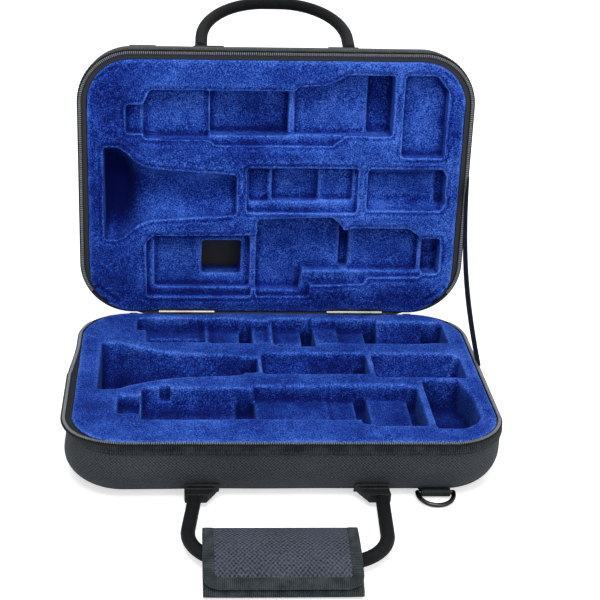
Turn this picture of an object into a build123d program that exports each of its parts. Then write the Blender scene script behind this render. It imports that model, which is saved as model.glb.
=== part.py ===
from build123d import *
import os
from math import asin, cos, degrees, radians, sin, sqrt

os.makedirs("parts", exist_ok=True)

# Clarinet case: a zipped soft case with a fitted plush interior, standing open.
# Millimetres, +X to the right as seen from the handle side, -Y towards the handle,
# +Z up. The origin is the middle of the base's flat bottom.
#
# Each half is built as a tub standing on z = 0 with its rim up. The lid's tub is then
# turned over, set on the base and swung open about the hinge line.
# A place inside a half is given as x and as "reach", the distance from the hinge line.

# --- driving dimensions -------------------------------------------------------------

LINING_W = 326.0        # plush face, side to side
LINING_D = 230.0        # plush face, hinge line to front
LINING_R = 39.0         # plush face, corner radius
ZIP_BAND = 7.0          # zip band outside the plush, front and sides
BASE_H = 52.0
LID_H = 46.0
EDGE_R = 28.0           # round between the walls and the big faces
OPEN_ANGLE = 92.0       # how far the lid stands open

COVER_T = 1.6           # nylon skin with its foam backing
SHELL_T = 5.0           # stiff moulded tub under the skin
LAYER_GAP = 0.3
HINGE_SETBACK = 0.3     # hinge line behind the skin's back face
PARTING_GAP = 0.15      # each half's rim stops this short of the parting plane

TAPE_T = 0.8
TAPE_DROP = 8.0         # how far the zip tape runs down the outside
COIL_H = 1.3
COIL_W = 4.6
ZIP_RIM_END = 18.0      # reach at which the zip leaves the rim at the back
ZIP_BACK_X = 112.0      # where the zip ends on the back face
FLANGE_T = 2.2          # plush that laps over the back wall's rim

HINGE_X = 76.0          # middle of each butt hinge
HINGE_LENGTH = 50.0
KNUCKLES = 5
KNUCKLE_R = 2.0
KNUCKLE_GAP = 0.15
PIN_R = 1.0
PIN_FIT = 0.05
LEAF_T = 1.0
LEAF_H = 14.0
RIVET_R = 1.0
RIVET_HEAD_R = 1.8
RIVET_HEAD_T = 0.5
RIVETS = 3

TUBE_R = 5.2            # rolled webbing of the two carrying loops
LOOP_REACH = 84.0
LOOP_BEND_R = 40.0
LOOP_FOOT_X = 72.0      # base loop: half the distance between its feet
LOOP_LEFT_X = 82.0      # the base loop's shoulders, bent by use: wide on the left
LOOP_RIGHT_X = 67.0
LID_LOOP_FOOT_X = 65.0
LID_LOOP_SHOULDER_X = 63.0
LID_LOOP_REACH = 70.0
LID_LOOP_BEND_R = 58.0
PIVOT_STANDOFF = 13.15  # base loop's feet stand this far in front of the front wall
PIVOT_Z = 8.5
BAR_Z = 10.8            # height of the base loop's bar where it lies on the floor
LID_PIVOT_ANGLE = 50.0  # place of the lid loop's feet round the edge's curve
LID_PIVOT_STANDOFF = 7.4
LID_LOOP_LEAN = 70.0    # how far the lid's loop lies back from upright
TAB_W = 27.0
TAB_TIP_W = 14.0
TAB_T = 2.4

GRIP_W = 112.0
GRIP_L = 60.0
GRIP_T = 15.0
GRIP_LIP_T = 5.0
GRIP_SHIFT = -11.0      # the grip sits a little left of the middle
GRIP_TILT = 15.0
FLAP_T = 1.2
FLAP_BINDING_T = 0.7
FLAP_BINDING_W = 8.0
HOOK_T = 0.6
HOOK_W = 80.0
HOOK_L = 18.0

RING_WIRE_R = 1.8
RING_W = 28.0           # D-ring, wire centre to wire centre
RING_LEG = 1.0
RING_X = 115.6
RING_ANGLE = 48.0       # place of the D-ring's bar round the edge's curve
RING_TIP_Z = 2.1        # base ring: its tip lies on the floor
RING_TAB_W = 23.0
RING_TAB_T = 1.2

STRAP_T = 1.0
STRAP_W = 12.0
STRAP_INSET = 0.2       # middle of the ribbon inside the case's right side
STRAP_BASE_REACH = 105.0
STRAP_LID_REACH = 127.0
STRAP_SAG = 8.0

SLIDER_PLATE_T = 1.6
SLIDER_Z_DROP = 5.7     # slider's middle below the parting plane
PULL_W = 6.5
PULL_L = 26.0
PULL_T = 1.4
EYE_R = 2.0
BAR_R = 0.9

# --- sizes worked out from them -----------------------------------------------------

OUT_W = LINING_W + 2 * ZIP_BAND
OUT_D = LINING_D + ZIP_BAND - HINGE_SETBACK
OUT_R = LINING_R + ZIP_BAND
Y_FRONT = -OUT_D / 2
Y_BACK = OUT_D / 2
Y_HINGE = Y_BACK + HINGE_SETBACK
PIVOT_Y = Y_FRONT - PIVOT_STANDOFF
STRAP_X = OUT_W / 2 - STRAP_INSET
HINGE_AXIS = Axis((0, Y_HINGE, BASE_H), (1, 0, 0))
SHELL_INSET = COVER_T + LAYER_GAP
INSERT_INSET = SHELL_INSET + SHELL_T + LAYER_GAP
CORNER_X = OUT_W / 2 - OUT_R
CORNER_Y = Y_BACK - OUT_R
CURVE_Y = Y_FRONT + EDGE_R      # centre of the lower front edge's curve
RIM_STACK = PARTING_GAP + COIL_H + 0.1 + TAPE_T     # coil and tape above the rim
SHELL_DROP = RIM_STACK + 0.15
COVER_DROP = RIM_STACK + 0.1
TAPE_OUT = LAYER_GAP / 2 + TAPE_T                   # tape's outer face from the skin
INSERT_WALL = 3.0               # plush left under the deepest pocket
BASE_DEEPEST = BASE_H - INSERT_INSET - INSERT_WALL
LID_DEEPEST = LID_H - INSERT_INSET - INSERT_WALL


# --- helpers ------------------------------------------------------------------------

def block(x0, x1, y0, y1, z0, z1):
    """A box given by its faces."""
    middle = Pos((x0 + x1) / 2, (y0 + y1) / 2, (z0 + z1) / 2)
    return middle * Box(x1 - x0, y1 - y0, z1 - z0)


def rod(radius, x0, x1, y, z):
    """A cylinder along X."""
    return Pos((x0 + x1) / 2, y, z) * Rot(0, 90, 0) * Cylinder(radius, x1 - x0)


def prism(points, x0, x1):
    """A Y-Z outline carried from x0 to x1."""
    face = make_face(Polyline(*[(0, y, z) for y, z in points], close=True).edges())
    return extrude(Pos(x0, 0, 0) * face, x1 - x0, dir=(1, 0, 0))


def tub(inset, top):
    """The case's outer form, shrunk by inset on every side, cut off level at top."""
    outline = Pos(0, 0, inset) * RectangleRounded(
        OUT_W - 2 * inset, OUT_D - 2 * inset, OUT_R - inset)
    body = extrude(outline, top - inset)
    return fillet(body.faces().sort_by(Axis.Z)[0].edges(), EDGE_R - inset)


def outline_slab(grow, z0, z1):
    """A slab of the outer outline, grown outwards."""
    outline = RectangleRounded(OUT_W + 2 * grow, OUT_D + 2 * grow, OUT_R + grow)
    return extrude(Pos(0, 0, z0) * outline, z1 - z0)


def lining_slab(grow, z0, z1):
    """A slab of the plush face's outline, grown outwards."""
    y_front = Y_FRONT + ZIP_BAND
    outline = RectangleRounded(
        LINING_W + 2 * grow, Y_HINGE - y_front + 2 * grow, LINING_R + grow)
    return extrude(Pos(0, (Y_HINGE + y_front) / 2, z0) * outline, z1 - z0)


def on_lid(shape):
    """Takes a tub-frame shape to the open lid."""
    closed = Pos(0, 0, BASE_H + LID_H) * shape.mirror(Plane.XY)
    return closed.rotate(HINGE_AXIS, -OPEN_ANGLE)


def lid_point(y, height):
    """Takes a tub-frame point of the lid (y, height) to (y, z) on the open lid."""
    turn = radians(-OPEN_ANGLE)
    dy = y - Y_HINGE
    dz = LID_H - height
    return (Y_HINGE + dy * cos(turn) - dz * sin(turn),
            BASE_H + dy * sin(turn) + dz * cos(turn))


def save(name, *solids):
    """Writes one node; several solids share a node as separate pieces."""
    shape = solids[0] if len(solids) == 1 else Compound(children=list(solids))
    shape.label = name
    export_step(shape, f"parts/{name}.step")


# --- skin, tub and zip of one half --------------------------------------------------

def leaf_windows(height):
    """Clearance for the two hinges where they pass the skin and the plush flange."""
    reach = HINGE_LENGTH / 2 + LAYER_GAP
    y_inner = Y_HINGE - KNUCKLE_R - 0.35
    z_low = height - LEAF_H - 1.0
    return [block(side * HINGE_X - reach, side * HINGE_X + reach,
                  y_inner, Y_BACK + 1, z_low, height + 1) for side in (-1, 1)]


def make_cover(height):
    cover = tub(0, height - COVER_DROP) - tub(COVER_T, height + 1)
    for window in leaf_windows(height):
        cover -= window
    return cover


def rivet_places():
    pitch = HINGE_LENGTH / RIVETS
    steps = [(i - (RIVETS - 1) / 2) * pitch for i in range(RIVETS)]
    return [side * HINGE_X + step for side in (-1, 1) for step in steps]


def make_shell(height):
    shell = tub(SHELL_INSET, height - SHELL_DROP) - tub(SHELL_INSET + SHELL_T, height + 1)
    z = height - LEAF_H * 0.65
    for x in rivet_places():
        hole = Pos(x, Y_BACK - SHELL_INSET, z) * Rot(90, 0, 0)
        shell -= hole * Cylinder(RIVET_R + PIN_FIT, 3 * SHELL_T)
    return shell


def make_zip_tape(height):
    """Tape over the rim and down the outside, open across the hinge side."""
    top = height - PARTING_GAP - COIL_H - 0.1
    rim = outline_slab(TAPE_OUT, top - TAPE_T, top) - lining_slab(0.1, 0, height)
    rim -= block(-OUT_W, OUT_W, Y_HINGE - ZIP_RIM_END, OUT_D, 0, height)
    wall = outline_slab(TAPE_OUT, top - TAPE_DROP, top)
    wall -= outline_slab(LAYER_GAP / 2, 0, height)
    wall -= block(-ZIP_BACK_X, ZIP_BACK_X, 0, OUT_D, 0, height)
    return rim + wall


def make_zip_coil(height):
    """The row of teeth, kept as a plain bead along the rim."""
    top = height - PARTING_GAP
    bead = outline_slab(-1.0, top - COIL_H, top)
    bead -= outline_slab(-1.0 - COIL_W, 0, height)
    bead -= lining_slab(0.8, 0, height)
    return bead - block(-OUT_W, OUT_W, Y_HINGE - ZIP_RIM_END, OUT_D, 0, height)


# --- plush insert -------------------------------------------------------------------

def make_insert_block(height):
    """Moulded block that fills the tub, with a flange over the back wall's rim."""
    top = height - PARTING_GAP
    body = tub(INSERT_INSET, top)
    flange = lining_slab(-0.2, top - FLANGE_T, top)
    flange -= block(-OUT_W, OUT_W, Y_BACK, OUT_D, 0, height)
    body += flange
    for window in leaf_windows(height):
        body -= window
    return body


def pocket(height, x0, x1, reach0, reach1, depth):
    """Straight-sided pocket."""
    return block(x0, x1, Y_HINGE - reach1, Y_HINGE - reach0, height - depth, height + 1)


def outline_pocket(height, points, depth):
    """Pocket with an outline of its own, given as (x, reach)."""
    outline = Polyline(*[(x, Y_HINGE - reach, height - depth) for x, reach in points],
                       close=True)
    return extrude(make_face(outline.edges()), depth + 1, dir=(0, 0, 1))


def trough(height, x0, x1, reach, radius, depth):
    """Half-round pocket for a round piece that lies along X."""
    round_part = rod(radius, x0, x1, Y_HINGE - reach, height)
    return round_part & pocket(height, x0, x1, reach - radius, reach + radius, depth)


def bell_pocket(height, stations, reach, depth):
    """Pocket for the flared bell: its radius at each x, turned about its own axis."""
    x_first, x_last = stations[0][0], stations[-1][0]
    flare = Spline(*[(x, r) for x, r in stations[1:-1]])
    outline = Polyline((stations[1][0], stations[1][1]), (x_first, stations[0][1]),
                       (x_first, 0), (x_last, 0), (x_last, stations[-1][1]),
                       (stations[-2][0], stations[-2][1]))
    turned = revolve(make_face(outline.edges() + flare.edges()), Axis.X)
    widest = max(r for _, r in stations)
    return (Pos(0, Y_HINGE - reach, height) * turned) & pocket(
        height, x_first, x_last, reach - widest, reach + widest, depth)


def base_pockets():
    """The instrument's five pieces and the accessory box, in the base."""
    h = BASE_H
    shallow, ledge, deep, well = 13.0, 9.0, 24.0, 28.0
    bell = [(-149, 42.5), (-132, 42), (-121, 34.5), (-104, 27.5), (-88, 23), (-60, 20),
            (-33, 17.5), (-30, 17.5)]
    return [
        # lower joint, along the hinge
        pocket(h, -120, -60, 12, 36, shallow),
        pocket(h, -111, -60, 30, 60, deep),
        pocket(h, -61, -56, 14, 58, ledge),
        pocket(h, -57, -28, 12, 45, shallow),
        pocket(h, -57, -28, 40, 62, deep),
        pocket(h, -29, -18, 14, 62, well),
        pocket(h, -19, -3, 16, 60, ledge),
        pocket(h, 0, 27, 12, 45, shallow),
        pocket(h, 0, 27, 40, 68, deep),
        pocket(h, -4, 1, 14, 62, 6.0),
        pocket(h, 26, 37, 12, 68, well),
        pocket(h, 36, 59, 14, 60, ledge),
        pocket(h, 58, 84, 14, 45, shallow),
        pocket(h, 58, 84, 40, 62, deep),
        pocket(h, 83, 94, 14, 62, well),
        trough(h, 93, 135, 40, 22, 18.0),
        pocket(h, 134, 152, 20, 61, 26.0),
        # bell, with the slot for its rim and the tenon's recess
        bell_pocket(h, bell, 105, BASE_DEEPEST),
        pocket(h, -31, -17, 90, 118, 16.0),
        # mouthpiece and barrel
        trough(h, -13, 76, 101, 19, 17.0),
        pocket(h, 66, 76, 86, 116, 21.0),
        trough(h, 81, 151, 104, 21.5, 19.0),
        pocket(h, 150, 156, 88, 127, deep),
        # upper joint, along the front
        pocket(h, -132, -115, 160, 188, 12.0),
        pocket(h, -116, -112, 158, 190, 6.0),
        trough(h, -113, -36, 172, 26, 20.0),
        pocket(h, -99, -90, 141, 150, 12.0),
        pocket(h, -37, -22, 147, 197, 26.0),
        pocket(h, -23, 38, 143, 188, shallow),
        pocket(h, -23, 38, 184, 198, 22.0),
        pocket(h, 37, 61, 141, 198, 15.0),
        pocket(h, 60, 70, 141, 205, 26.0),
        pocket(h, 69, 104, 141, 195, shallow),
        pocket(h, 69, 104, 190, 208, 20.0),
        pocket(h, 103, 111, 143, 208, deep),
        # accessory box at the front right
        outline_pocket(h, [(117, 131), (147, 131), (154, 160), (154, 194), (149, 204),
                           (138, 212), (117, 212)], 30.0),
    ]


def lid_pockets():
    """The matching pockets of the lid, the reed box and the square well."""
    h = LID_H
    bell = [(-149, 42.5), (-138, 42.5), (-130, 38), (-121, 29.5), (-112, 25), (-95, 22.5),
            (-66, 20.5), (-36, 18.5), (-33, 18.5)]
    return [
        # upper joint, along the front
        pocket(h, -129.5, -114, 165, 190, 10.0),
        outline_pocket(h, [(-114.5, 161), (-114.5, 190), (-108.5, 203.5), (-58, 203.5),
                           (-58, 161)], 15.0),
        pocket(h, -57, 11, 163, 203.5, 24.0),
        pocket(h, -58.5, -56, 163, 202, 11.0),
        outline_pocket(h, [(16, 164.5), (16, 207), (42, 208.5), (50, 212), (60, 217.5),
                           (80, 217.5), (80, 164.5)], 15.0),
        pocket(h, 10, 17, 164, 203, 11.0),
        pocket(h, 79.5, 101, 164, 217.5, 22.0),
        outline_pocket(h, [(-100, 164), (-100, 159.5), (-57, 159.5), (-52, 155), (49, 155.5),
                           (59, 163), (59, 166)], 6.0),
        # reed box
        outline_pocket(h, [(110, 145.5), (147.5, 145.5), (147.5, 205), (137, 217.5),
                           (110, 217.5)], 14.0),
        # bell
        bell_pocket(h, bell, 110, LID_DEEPEST),
        # mouthpiece and barrel
        pocket(h, -24, 73.5, 94.5, 135, 6.0),
        pocket(h, -22, -5, 103, 132.5, 14.0),
        pocket(h, -1.5, 39, 104, 133, 18.0),
        pocket(h, -6, -1, 104, 132, 11.0),
        pocket(h, 38, 69, 105, 134, 13.0),
        trough(h, 82, 149, 116, 19, 15.0),
        pocket(h, 143, 151, 101, 131, 18.0),
        # lower joint, along the hinge, with the square well through to the tub
        outline_pocket(h, [(-112, 15), (-112, 66), (-106, 71.5), (-18.5, 73), (-18.5, 15)], 7.0),
        pocket(h, -105, -20, 22, 70, 15.0),
        pocket(h, -62.5, -27.5, 32, 63, h),
        pocket(h, -19.5, -13, 22, 74, 8.0),
        outline_pocket(h, [(-14, 20), (25, 20), (27.5, 38.7), (63, 38.9), (62, 81), (52, 90),
                           (-14, 87.5)], 18.0),
        outline_pocket(h, [(-14, 15), (34, 15), (35, 26), (83, 27), (86, 34), (134, 34.5),
                           (134, 40), (-14, 40)], 6.0),
        pocket(h, 61, 69, 40, 78, 24.0),
        outline_pocket(h, [(68, 39), (68, 79.7), (121, 79.7), (131, 73), (131, 39)], 14.0),
        pocket(h, 130, 136, 40, 70, 9.0),
        pocket(h, 135, 150, 37.5, 71, 20.0),
    ]


def make_insert(height, pockets):
    body = make_insert_block(height)
    for cutter in pockets:
        body -= cutter
    return body


# --- butt hinges --------------------------------------------------------------------

def knuckle_spans(side, mine):
    """The stretches of X that one leaf's knuckles take."""
    pitch = HINGE_LENGTH / KNUCKLES
    start = side * HINGE_X - HINGE_LENGTH / 2
    return [(start + i * pitch + KNUCKLE_GAP / 2, start + (i + 1) * pitch - KNUCKLE_GAP / 2)
            for i in range(KNUCKLES) if i % 2 == mine]


def make_leaf(height, side, mine):
    """A leaf in the tub frame: knuckles on the hinge line, plate down the back wall."""
    x0 = side * HINGE_X - HINGE_LENGTH / 2
    y0 = Y_HINGE - KNUCKLE_R
    leaf = block(x0, x0 + HINGE_LENGTH, y0, y0 + LEAF_T,
                 height - LEAF_H, height - KNUCKLE_R - 0.3)
    for a, b in knuckle_spans(side, mine):
        leaf += block(a, b, y0, y0 + LEAF_T, height - KNUCKLE_R - 0.4, height)
        leaf += rod(KNUCKLE_R, a, b, Y_HINGE, height)
    leaf -= rod(PIN_R + PIN_FIT, x0 - 1, x0 + HINGE_LENGTH + 1, Y_HINGE, height)
    for x in rivet_places():
        if x * side > 0:
            hole = Pos(x, y0, height - LEAF_H * 0.65) * Rot(90, 0, 0)
            leaf -= hole * Cylinder(RIVET_R + PIN_FIT, 4 * LEAF_T)
    return leaf


def make_rivets(height):
    """Flat-headed rivets from each leaf into the tub's back wall."""
    y_face = Y_HINGE - KNUCKLE_R + LEAF_T + 0.02
    y_end = Y_BACK - SHELL_INSET - SHELL_T + 0.5
    z = height - LEAF_H * 0.65
    rivets = []
    for x in rivet_places():
        shank = Pos(x, (y_face + y_end) / 2, z) * Rot(90, 0, 0)
        head = Pos(x, y_face + RIVET_HEAD_T / 2, z) * Rot(90, 0, 0)
        rivets.append(shank * Cylinder(RIVET_R, y_face - y_end)
                      + head * Cylinder(RIVET_HEAD_R, RIVET_HEAD_T))
    return rivets


# --- carrying loops -----------------------------------------------------------------

def loop_path(foot_x, left_x, right_x, reach, bend):
    """Centre line of a loop in its own frame: feet on the X axis, bar at -Y."""
    return FilletPolyline((-foot_x, 0), (-left_x, -reach), (right_x, -reach), (foot_x, 0),
                          radius=bend)


def make_loop(foot_x, left_x, right_x, reach, bend, radius):
    """A round loop of rolled webbing with rounded feet."""
    path = loop_path(foot_x, left_x, right_x, reach, bend)
    section = Plane(origin=path @ 0, z_dir=path % 0) * Circle(radius)
    tube = sweep(section, path=path)
    for side in (-1, 1):
        tube += Pos(side * foot_x, 0, 0) * Sphere(radius)
    return tube


def curve_strip(x0, x1, low, high, inner, outer):
    """A strip laid round the lower front edge between two angles below level."""
    ring = rod(EDGE_R + outer, x0, x1, CURVE_Y, EDGE_R)
    ring -= rod(EDGE_R + inner, x0 - 1, x1 + 1, CURVE_Y, EDGE_R)
    far = 3 * EDGE_R
    wedge = prism([(CURVE_Y, EDGE_R),
                   (CURVE_Y - far * cos(radians(low)), EDGE_R - far * sin(radians(low))),
                   (CURVE_Y - far * cos(radians(high)), EDGE_R - far * sin(radians(high)))],
                  x0 - 1, x1 + 1)
    return ring & wedge


def loop_tab(side, foot_x, pivot_y, pivot_z, low, high):
    """Webbing patch round the edge with a folded neck that holds one foot of a loop."""
    wide_x = side * (foot_x - (TAB_W - TAB_TIP_W) / 2)
    patch = curve_strip(wide_x - TAB_W / 2, wide_x + TAB_W / 2, low, high,
                        LAYER_GAP, LAYER_GAP + TAB_T)
    middle = radians((low + high) / 2)
    reach = EDGE_R + LAYER_GAP + TAB_T / 2
    root = Vector(wide_x, CURVE_Y - reach * cos(middle), EDGE_R - reach * sin(middle))
    tip = Vector(side * foot_x, pivot_y, pivot_z)
    flat = Vector(0, tip.Y - root.Y, tip.Z - root.Z).normalized()
    root_plane = Plane(origin=root, x_dir=(1, 0, 0), z_dir=flat)
    tip_plane = Plane(origin=tip, x_dir=(1, 0, 0), z_dir=flat)
    neck = loft([root_plane * Rectangle(TAB_W, TAB_T * 1.5),
                 tip_plane * Rectangle(TAB_TIP_W, 1.7 * TUBE_R)])
    tab = patch + neck
    tab -= tub(-LAYER_GAP, BASE_H) + rod(TUBE_R + LAYER_GAP, -OUT_W, OUT_W, pivot_y, pivot_z)
    far_side = tab.solids().sort_by(SortBy.VOLUME)[-1]
    return far_side


# --- grip ---------------------------------------------------------------------------

GRIP_RISE = (GRIP_T - GRIP_LIP_T) / 2
GRIP_ARC_R = ((GRIP_L / 2) ** 2 + GRIP_RISE ** 2) / (2 * GRIP_RISE)
LOOP_SLOPE = (BAR_Z - PIVOT_Z) / LOOP_REACH
GRIP_Y = PIVOT_Y - LOOP_REACH * sqrt(1 - LOOP_SLOPE ** 2)


def at_grip(shape):
    """Takes a shape built about the bar's axis to the grip's place."""
    return Pos(GRIP_SHIFT, GRIP_Y, BAR_Z) * Rot(GRIP_TILT, 0, 0) * shape


def grip_layer(x0, x1, y0, y1, inner, outer):
    """A layer over the grip's bowed front, between two offsets from it."""
    centre = GRIP_T / 2 - GRIP_ARC_R
    layer = rod(GRIP_ARC_R + outer, x0, x1, 0, centre)
    layer -= rod(GRIP_ARC_R + inner, x0 - 1, x1 + 1, 0, centre)
    return layer & block(x0, x1, y0, y1, 0, GRIP_T)


def make_sleeve():
    """Padded sleeve round the bar: bowed front and back, thin upper and lower lips."""
    half_l, lip, mid = GRIP_L / 2, GRIP_LIP_T / 2, GRIP_T / 2
    outline = [ThreePointArc((0, -half_l, lip), (0, 0, mid), (0, half_l, lip)),
               Line((0, half_l, lip), (0, half_l, -lip)),
               ThreePointArc((0, half_l, -lip), (0, 0, -mid), (0, -half_l, -lip)),
               Line((0, -half_l, -lip), (0, -half_l, lip))]
    face = make_face(Curve() + outline)
    body = extrude(Pos(-GRIP_W / 2, 0, 0) * face, GRIP_W, dir=(1, 0, 0))
    return fillet(body.edges().filter_by(Axis.X), GRIP_LIP_T * 0.4)


# --- small metal pieces -------------------------------------------------------------

def make_d_ring():
    """D-ring hanging along -Z from a bar on the X axis."""
    half = RING_W / 2
    ring = rod(RING_WIRE_R, -half, half, 0, 0)
    for side in (-1, 1):
        ring += Pos(side * half, 0, 0) * Sphere(RING_WIRE_R)
        ring += Pos(side * half, 0, -RING_LEG / 2) * Cylinder(RING_WIRE_R, RING_LEG)
    bow = Pos(0, 0, -RING_LEG) * Rot(90, 0, 0) * Torus(half, RING_WIRE_R)
    return ring + (bow & block(-OUT_W, OUT_W, -5, 5, -OUT_W, -RING_LEG))


RING_STANDOFF = LAYER_GAP + RING_TAB_T + LAYER_GAP + RING_WIRE_R


def ring_place(angle):
    """(y, z) of a D-ring's bar beside the edge's curve, in the tub frame."""
    reach = EDGE_R + RING_STANDOFF
    return CURVE_Y - reach * cos(radians(angle)), EDGE_R - reach * sin(radians(angle))


def make_ring_tab(x):
    """Webbing that lies round the edge and turns back round the ring's bar."""
    y, z = ring_place(RING_ANGLE)
    x0, x1 = x - RING_TAB_W / 2, x + RING_TAB_W / 2
    tab = curve_strip(x0, x1, RING_ANGLE + 1, 74, LAYER_GAP, LAYER_GAP + RING_TAB_T)
    tab += rod(RING_WIRE_R + LAYER_GAP + RING_TAB_T, x0, x1, y, z)
    return tab - rod(RING_WIRE_R + LAYER_GAP, x0 - 1, x1 + 1, y, z)


def make_slider():
    """Zip slider lying on the tape: along X, outwards is +Y, middle at the origin."""
    outline = Polyline((-5.5, 0, -2.6), (-2, 0, -3.7), (3.5, 0, -3.7), (5.5, 0, -2.2),
                       (5.5, 0, 2.2), (3.5, 0, 3.7), (-2, 0, 3.7), (-5.5, 0, 2.6), close=True)
    slider = extrude(make_face(outline.edges()), SLIDER_PLATE_T, dir=(0, 1, 0))
    bar_y = SLIDER_PLATE_T + EYE_R + 0.4
    for side in (-1, 1):
        slider += block(min(side * 2.1, side * 3.7), max(side * 2.1, side * 3.7),
                        SLIDER_PLATE_T - 0.2, bar_y + BAR_R, -1.2, 1.2)
    return slider + rod(BAR_R, -3.7, 3.7, bar_y, 0)


def make_pull():
    """Pull tab hanging from the slider's bar."""
    bar_y = SLIDER_PLATE_T + EYE_R + 0.4
    outline = RectangleRounded(PULL_W, PULL_L, 2.0)
    tab = extrude(Plane.XZ * Pos(0, -EYE_R - PULL_L / 2) * outline, PULL_T / 2, both=True)
    tab -= Pos(0, 0, -EYE_R - PULL_L + 4.5) * Rot(90, 0, 0) * Cylinder(1.6, 4 * PULL_T)
    pull = Pos(0, bar_y, 0) * tab
    pull += block(-1.7, 1.7, bar_y - PULL_T / 2, bar_y + PULL_T / 2, -EYE_R - 1, -BAR_R - 0.4)
    pull += rod(EYE_R, -1.7, 1.7, bar_y, 0)
    return pull - rod(BAR_R + 0.2, -3, 3, bar_y, 0)


def at_slider(shape, side):
    """Parks a zip piece where the back face meets the corner."""
    return Pos(side * CORNER_X, Y_BACK + TAPE_OUT + LAYER_GAP, BASE_H - SLIDER_Z_DROP) * shape


# --- fabric that crosses the hinge --------------------------------------------------

def make_spine():
    """Outer nylon across the hinge line, lying in the corner of the open case."""
    clear = LAYER_GAP
    lean = sin(radians(OPEN_ANGLE - 90))
    y_far = Y_HINGE + 18
    under_lid = BASE_H + HINGE_SETBACK - clear
    outline = [(Y_HINGE, BASE_H - 16), (Y_HINGE, BASE_H - 3.8),
               (Y_HINGE + 3.6, under_lid - 3.6 * lean),
               (y_far, under_lid - 18 * lean),
               (y_far, under_lid - 18 * lean - TAPE_T),
               (Y_HINGE + 3.9, under_lid - 3.9 * lean - TAPE_T - 0.2),
               (Y_HINGE + TAPE_T, BASE_H - 4.2), (Y_HINGE + TAPE_T, BASE_H - 16)]
    half = ZIP_BACK_X - 7
    return prism(outline, -half, half)


def make_strap():
    """Stay ribbon from the base's right rim to the lid's, a little slack."""
    base_end = (Y_HINGE - STRAP_BASE_REACH, BASE_H - RIM_STACK + TAPE_T)
    lid_end = lid_point(Y_HINGE - STRAP_LID_REACH, LID_H - RIM_STACK + TAPE_T)
    run = sqrt((lid_end[0] - base_end[0]) ** 2 + (lid_end[1] - base_end[1]) ** 2)
    along = ((lid_end[0] - base_end[0]) / run, (lid_end[1] - base_end[1]) / run)
    middle = ((base_end[0] + lid_end[0]) / 2 + STRAP_SAG * along[1],
              (base_end[1] + lid_end[1]) / 2 - STRAP_SAG * along[0])
    spare = STRAP_W
    edges = []
    for offset in (-STRAP_W / 2, STRAP_W / 2):
        shift = (offset * along[1], -offset * along[0])
        points = [(base_end[0] - spare * along[0], base_end[1] - spare * along[1]),
                  middle,
                  (lid_end[0] + spare * along[0], lid_end[1] + spare * along[1])]
        edges.append([(0, y + shift[0], z + shift[1]) for y, z in points])
    outline = [ThreePointArc(*edges[0]), Line(edges[0][2], edges[1][2]),
               ThreePointArc(*edges[1]), Line(edges[1][0], edges[0][0])]
    ribbon = extrude(Pos(STRAP_X - STRAP_T / 2, 0, 0) * make_face(Curve() + outline),
                     STRAP_T, dir=(1, 0, 0))
    ribbon -= block(0, OUT_W, -OUT_D, OUT_D, 0, base_end[1] + 0.15)
    lid_side = block(0, OUT_W, -OUT_D, OUT_D, 0, LID_H - RIM_STACK + TAPE_T + 0.15)
    return ribbon - on_lid(lid_side)


# --- build and write ----------------------------------------------------------------

# The two tubs
save("base_cover", make_cover(BASE_H))
save("base_shell", make_shell(BASE_H))
save("base_insert", make_insert(BASE_H, base_pockets()))
save("base_zip_tape", make_zip_tape(BASE_H))
save("base_zip_coil", make_zip_coil(BASE_H))
save("lid_cover", on_lid(make_cover(LID_H)))
save("lid_shell", on_lid(make_shell(LID_H)))
save("lid_insert", on_lid(make_insert(LID_H, lid_pockets())))
save("lid_zip_tape", on_lid(make_zip_tape(LID_H)))
save("lid_zip_coil", on_lid(make_zip_coil(LID_H)))

# Hinges and the fabric that crosses them
for word, side in (("left", -1), ("right", 1)):
    save(f"hinge_leaf_base_{word}", make_leaf(BASE_H, side, 0))
    save(f"hinge_leaf_lid_{word}", on_lid(make_leaf(LID_H, side, 1)))
    save(f"hinge_pin_{word}", rod(PIN_R, side * HINGE_X - HINGE_LENGTH / 2,
                                  side * HINGE_X + HINGE_LENGTH / 2, Y_HINGE, BASE_H))
save("hinge_rivets_base", *make_rivets(BASE_H))
save("hinge_rivets_lid", *[on_lid(rivet) for rivet in make_rivets(LID_H)])
save("spine_fabric", make_spine())
save("stay_strap", make_strap())

# Carrying loops and their tabs
base_slope = Rot(-degrees(LOOP_SLOPE), 0, 0)
base_loop = Pos(0, PIVOT_Y, PIVOT_Z) * base_slope * make_loop(
    LOOP_FOOT_X, LOOP_LEFT_X, LOOP_RIGHT_X, LOOP_REACH, LOOP_BEND_R, TUBE_R)
save("base_loop", base_loop)

pivot_reach = EDGE_R + LID_PIVOT_STANDOFF
lid_pivot = (CURVE_Y - pivot_reach * cos(radians(LID_PIVOT_ANGLE)),
             EDGE_R - pivot_reach * sin(radians(LID_PIVOT_ANGLE)))
lid_pivot_open = lid_point(*lid_pivot)
lid_loop = Pos(0, *lid_pivot_open) * Rot(-90 - LID_LOOP_LEAN, 0, 0) * make_loop(
    LID_LOOP_FOOT_X, LID_LOOP_SHOULDER_X, LID_LOOP_SHOULDER_X, LID_LOOP_REACH,
    LID_LOOP_BEND_R, TUBE_R)
save("lid_loop", lid_loop)

for word, side in (("left", -1), ("right", 1)):
    save(f"base_loop_tab_{word}", loop_tab(side, LOOP_FOOT_X, PIVOT_Y, PIVOT_Z, 26, 56))
    save(f"lid_loop_tab_{word}", on_lid(loop_tab(side, LID_LOOP_FOOT_X, *lid_pivot, 30, 66)))

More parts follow.
